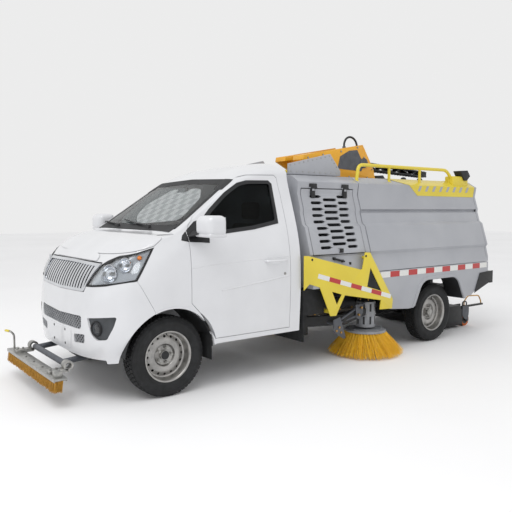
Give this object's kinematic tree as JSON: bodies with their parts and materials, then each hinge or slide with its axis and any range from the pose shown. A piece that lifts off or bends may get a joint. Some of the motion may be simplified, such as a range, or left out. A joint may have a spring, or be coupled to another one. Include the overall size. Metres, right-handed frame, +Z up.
{
  "type": "street sweeper truck",
  "caption": "Compact street sweeper truck: a short-bonnet cab on a light chassis with a ribbed tipping hopper, louvred machinery bay, side brooms, a front broom and a rear suction nozzle on casters.",
  "frame": {"origin": "on the ground under the centre of the whole machine's bounding box", "axes": "+X to the rear of the truck, +Y to its right-hand side, +Z up"},
  "size_m": [5.32, 2.1614, 2.139],
  "materials": {
    "chassis_black": "satin chassis black",
    "cast_iron": "as cast",
    "tyre_rubber": "black rubber",
    "wheel_silver": "silver wheel enamel",
    "exhaust_steel": "dull steel",
    "cab_white": "gloss white coach paint",
    "chrome": "bright chrome plate",
    "lamp_glass": "clear moulded lens",
    "tinted_glass": "tinted safety glass",
    "cabin_plastic": "grained black",
    "seat_fabric": "woven seat cloth",
    "body_grey": "blue-grey enamel",
    "safety_yellow": "safety yellow enamel",
    "bristle_yellow": "polypropylene bristle",
    "caster_orange": "cast polyurethane"
  },
  "bodies": {
    "root": {"chassis_frame": "chassis_black", "front_suspension": "chassis_black", "rear_axle": "chassis_black", "engine": "cast_iron", "exhaust": "exhaust_steel", "cab_shell": "cab_white", "front_bumper": "cab_white", "grille": "chrome", "headlamps": "lamp_glass", "windscreen": "tinted_glass", "seats": "seat_fabric", "dashboard": "cabin_plastic", "bay_shell": "body_grey", "blower": "chassis_black", "body_mounts": "chassis_black", "deck": "body_grey", "lower_body": "body_grey", "side_brackets": "safety_yellow", "rear_bumper": "chassis_black", "rear_lamps": "lamp_glass", "deflectors": "body_grey", "front_broom_arms": "body_grey", "tow_eye": "chassis_black"},
    "knuckle_left": {"knuckle_left": "cast_iron"},
    "knuckle_right": {"knuckle_right": "cast_iron"},
    "wheel_fl": {"tyre_fl": "tyre_rubber", "rim_fl": "wheel_silver"},
    "wheel_fr": {"tyre_fr": "tyre_rubber", "rim_fr": "wheel_silver"},
    "wheel_rl": {"tyre_rl": "tyre_rubber", "rim_rl": "wheel_silver"},
    "wheel_rr": {"tyre_rr": "tyre_rubber", "rim_rr": "wheel_silver"},
    "door_left": {"door_left": "cab_white", "door_glass_left": "tinted_glass", "mirror_left": "cab_white"},
    "bay_door_left": {"bay_door_left": "body_grey"},
    "brush_arm_left": {"brush_arm_left": "chassis_black"},
    "side_brush_left": {"side_brush_left": "bristle_yellow"},
    "caster_left": {"caster_left": "caster_orange"},
    "door_right": {"door_right": "cab_white", "door_glass_right": "tinted_glass", "mirror_right": "cab_white"},
    "bay_door_right": {"bay_door_right": "body_grey"},
    "brush_arm_right": {"brush_arm_right": "chassis_black"},
    "side_brush_right": {"side_brush_right": "bristle_yellow"},
    "caster_right": {"caster_right": "caster_orange"},
    "hood": {"hood": "cab_white"},
    "hopper": {"hopper": "body_grey", "roof_rails": "safety_yellow", "boom_pedestal": "safety_yellow", "hose": "chassis_black"},
    "tailgate": {"tailgate": "body_grey"},
    "boom": {"boom": "chassis_black"},
    "front_broom": {"front_broom": "bristle_yellow"},
    "nozzle": {"rear_nozzle": "chassis_black"},
    "steering_wheel": {"steering_wheel": "cabin_plastic"}
  },
  "joints": [
    {"name": "steer_left", "type": "hinge", "parent": "root", "child": "knuckle_left", "pos_m": [-1.86, -0.615, 0.3005], "axis": [0, 0, 1], "range_deg": [-32, 32]},
    {"name": "steer_right", "type": "hinge", "parent": "root", "child": "knuckle_right", "pos_m": [-1.86, 0.615, 0.3005], "axis": [0, 0, 1], "range_deg": [-32, 32]},
    {"name": "spin_fl", "type": "hinge", "parent": "knuckle_left", "child": "wheel_fl", "pos_m": [-1.86, -0.69, 0.3005], "axis": [0, 1, 0], "continuous": true},
    {"name": "spin_fr", "type": "hinge", "parent": "knuckle_right", "child": "wheel_fr", "pos_m": [-1.86, 0.69, 0.3005], "axis": [0, 1, 0], "continuous": true},
    {"name": "spin_rl", "type": "hinge", "parent": "root", "child": "wheel_rl", "pos_m": [1.27, -0.69, 0.3005], "axis": [0, 1, 0], "continuous": true},
    {"name": "spin_rr", "type": "hinge", "parent": "root", "child": "wheel_rr", "pos_m": [1.27, 0.69, 0.3005], "axis": [0, 1, 0], "continuous": true},
    {"name": "door_left_hinge", "type": "hinge", "parent": "root", "child": "door_left", "pos_m": [-1.706, -0.848, 0.9], "axis": [0, 0, -1], "range_deg": [0, 65]},
    {"name": "door_right_hinge", "type": "hinge", "parent": "root", "child": "door_right", "pos_m": [-1.706, 0.848, 0.9], "axis": [0, 0, 1], "range_deg": [0, 65]},
    {"name": "hood_hinge", "type": "hinge", "parent": "root", "child": "hood", "pos_m": [-1.788, 0, 1.222], "axis": [0, 1, 0], "range_deg": [0, 50]},
    {"name": "bay_door_left_hinge", "type": "hinge", "parent": "root", "child": "bay_door_left", "pos_m": [-0.1525, -0.674, 1.567], "axis": [-1, 0, 0], "range_deg": [0, 80]},
    {"name": "bay_door_right_hinge", "type": "hinge", "parent": "root", "child": "bay_door_right", "pos_m": [-0.1525, 0.674, 1.567], "axis": [1, 0, 0], "range_deg": [0, 80]},
    {"name": "hopper_tilt", "type": "hinge", "parent": "root", "child": "hopper", "pos_m": [2.114, 0, 0.79], "axis": [0, 1, 0], "range_deg": [0, 45]},
    {"name": "tailgate_hinge", "type": "hinge", "parent": "hopper", "child": "tailgate", "pos_m": [2.103, 0, 1.703], "axis": [0, -1, 0], "range_deg": [0, 75]},
    {"name": "boom_lift", "type": "hinge", "parent": "hopper", "child": "boom", "pos_m": [0.78, 0, 1.862], "axis": [0, -1, 0], "range_deg": [0, 50]},
    {"name": "arm_left_swing", "type": "hinge", "parent": "root", "child": "brush_arm_left", "pos_m": [-0.32, -0.52, 0.33], "axis": [0, 0, -1], "range_deg": [-14, 5]},
    {"name": "arm_right_swing", "type": "hinge", "parent": "root", "child": "brush_arm_right", "pos_m": [-0.32, 0.52, 0.33], "axis": [0, 0, 1], "range_deg": [-14, 5]},
    {"name": "side_brush_left_spin", "type": "hinge", "parent": "brush_arm_left", "child": "side_brush_left", "pos_m": [0.31, -0.7, 0.25], "axis": [0, 0, 1], "continuous": true},
    {"name": "side_brush_right_spin", "type": "hinge", "parent": "brush_arm_right", "child": "side_brush_right", "pos_m": [0.31, 0.7, 0.25], "axis": [0, 0, 1], "continuous": true},
    {"name": "front_broom_lift", "type": "hinge", "parent": "root", "child": "front_broom", "pos_m": [-2.485, 0, 0.262], "axis": [0, 1, 0], "range_deg": [0, 60]},
    {"name": "nozzle_lift", "type": "hinge", "parent": "root", "child": "nozzle", "pos_m": [1.83, 0, 0.33], "axis": [0, -1, 0], "range_deg": [0, 8]},
    {"name": "caster_left_spin", "type": "hinge", "parent": "nozzle", "child": "caster_left", "pos_m": [2.26, -0.455, 0.075], "axis": [0, 1, 0], "continuous": true},
    {"name": "caster_right_spin", "type": "hinge", "parent": "nozzle", "child": "caster_right", "pos_m": [2.26, 0.455, 0.075], "axis": [0, 1, 0], "continuous": true},
    {"name": "steering_wheel_turn", "type": "hinge", "parent": "root", "child": "steering_wheel", "pos_m": [-1.37, -0.36, 1.07], "axis": [0.766, 0, 0.6428], "range_deg": [-448, 448]}
  ],
  "couplings": [
    {"joint": "steer_right", "follows": "steer_left", "ratio": 1},
    {"joint": "steering_wheel_turn", "follows": "steer_left", "ratio": 14}
  ]
}
